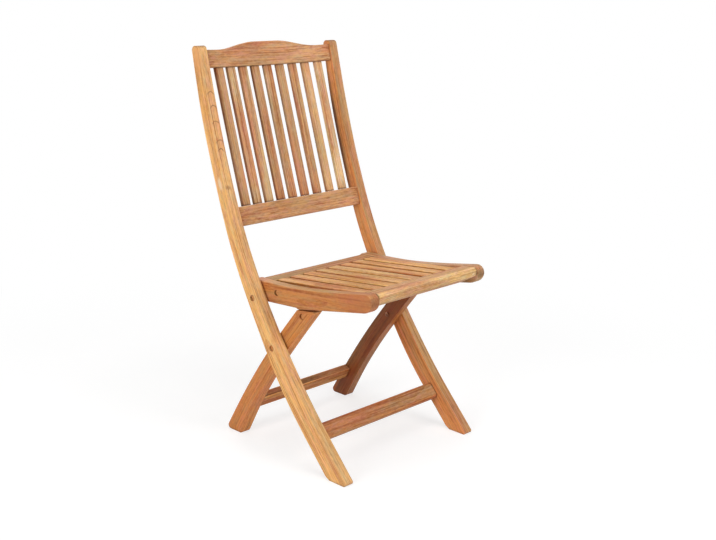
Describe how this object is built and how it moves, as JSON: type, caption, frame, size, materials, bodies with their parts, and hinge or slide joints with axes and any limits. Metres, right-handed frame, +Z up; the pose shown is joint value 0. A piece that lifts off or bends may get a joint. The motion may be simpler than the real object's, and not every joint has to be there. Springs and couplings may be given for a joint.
{
  "type": "folding chair",
  "caption": "Folding side chair of solid teak with curved posts, a slatted seat, a slatted back under a humped crest rail, and crossed rear legs that fold with the seat.",
  "frame": {"origin": "on the floor under the middle of the chair's width and depth", "axes": "+Z up, -Y toward where the sitter faces, +X toward the sitter's left"},
  "size_m": [0.444, 0.568, 0.9038],
  "materials": {
    "teak_gold": "oiled teak, golden",
    "teak_pink": "oiled teak, pinkish brown",
    "teak_orange": "oiled teak, orange brown",
    "teak_tan": "oiled teak, light tan",
    "teak_red": "oiled teak, reddish brown",
    "teak_plug": "end grain teak plugs",
    "zinc_steel": "plain metal"
  },
  "bodies": {
    "long_frame": {"post_right": "teak_gold", "post_left": "teak_gold", "crest_rail": "teak_pink", "lower_back_rail": "teak_orange", "back_slat_1": "teak_orange", "back_slat_2": "teak_orange", "back_slat_3": "teak_orange", "back_slat_4": "teak_orange", "back_slat_5": "teak_orange", "back_slat_6": "teak_orange", "back_slat_7": "teak_orange", "back_slat_8": "teak_orange", "back_slat_9": "teak_orange", "front_stretcher": "teak_red", "bolt_seat_right": "zinc_steel", "bolt_crossing_right": "zinc_steel", "washer_seat_right": "zinc_steel", "washer_crossing_right": "zinc_steel", "plug_seat_right": "teak_plug", "plug_crossing_right": "teak_plug", "bolt_seat_left": "zinc_steel", "bolt_crossing_left": "zinc_steel", "washer_seat_left": "zinc_steel", "washer_crossing_left": "zinc_steel", "plug_seat_left": "teak_plug", "plug_crossing_left": "teak_plug"},
    "seat_frame": {"seat_side_rail_right": "teak_orange", "seat_side_rail_left": "teak_orange", "seat_front_rail": "teak_tan", "seat_rear_rail": "teak_tan", "seat_slat_1": "teak_tan", "seat_slat_2": "teak_tan", "seat_slat_3": "teak_tan", "seat_slat_4": "teak_tan", "seat_slat_5": "teak_tan", "seat_slat_6": "teak_tan", "seat_slat_7": "teak_tan", "seat_slat_8": "teak_tan", "plug_link_seat_right": "teak_plug", "link_seat_pin_right": "zinc_steel", "plug_link_seat_left": "teak_plug", "link_seat_pin_left": "zinc_steel"},
    "rear_leg_frame": {"rear_leg_right": "teak_gold", "rear_leg_left": "teak_gold", "rear_stretcher": "teak_orange", "plug_link_leg_right": "teak_plug", "plug_link_leg_left": "teak_plug"},
    "link_arm_right": {"link_right": "zinc_steel", "link_leg_pin_right": "zinc_steel"},
    "link_arm_left": {"link_left": "zinc_steel", "link_leg_pin_left": "zinc_steel"}
  },
  "joints": [
    {"name": "seat_fold", "type": "hinge", "parent": "long_frame", "child": "seat_frame", "pos_m": [0, 0.05373, 0.357], "axis": [-1, 0, 0], "range_deg": [0, 95]},
    {"name": "rear_leg_fold", "type": "hinge", "parent": "long_frame", "child": "rear_leg_frame", "pos_m": [0, -0.01201, 0.2545], "axis": [-1, 0, 0], "range_deg": [0, 43]},
    {"name": "link_swing_right", "type": "hinge", "parent": "seat_frame", "child": "link_arm_right", "pos_m": [0, 0.00673, 0.374], "axis": [1, 0, 0], "range_deg": [0, 102]},
    {"name": "link_swing_left", "type": "hinge", "parent": "seat_frame", "child": "link_arm_left", "pos_m": [0, 0.00673, 0.374], "axis": [1, 0, 0], "range_deg": [0, 102]}
  ],
  "couplings": [
    {"joint": "rear_leg_fold", "follows": "seat_fold", "ratio": 0.4453},
    {"joint": "link_swing_right", "follows": "seat_fold", "ratio": 1.0644},
    {"joint": "link_swing_left", "follows": "seat_fold", "ratio": 1.0644}
  ]
}
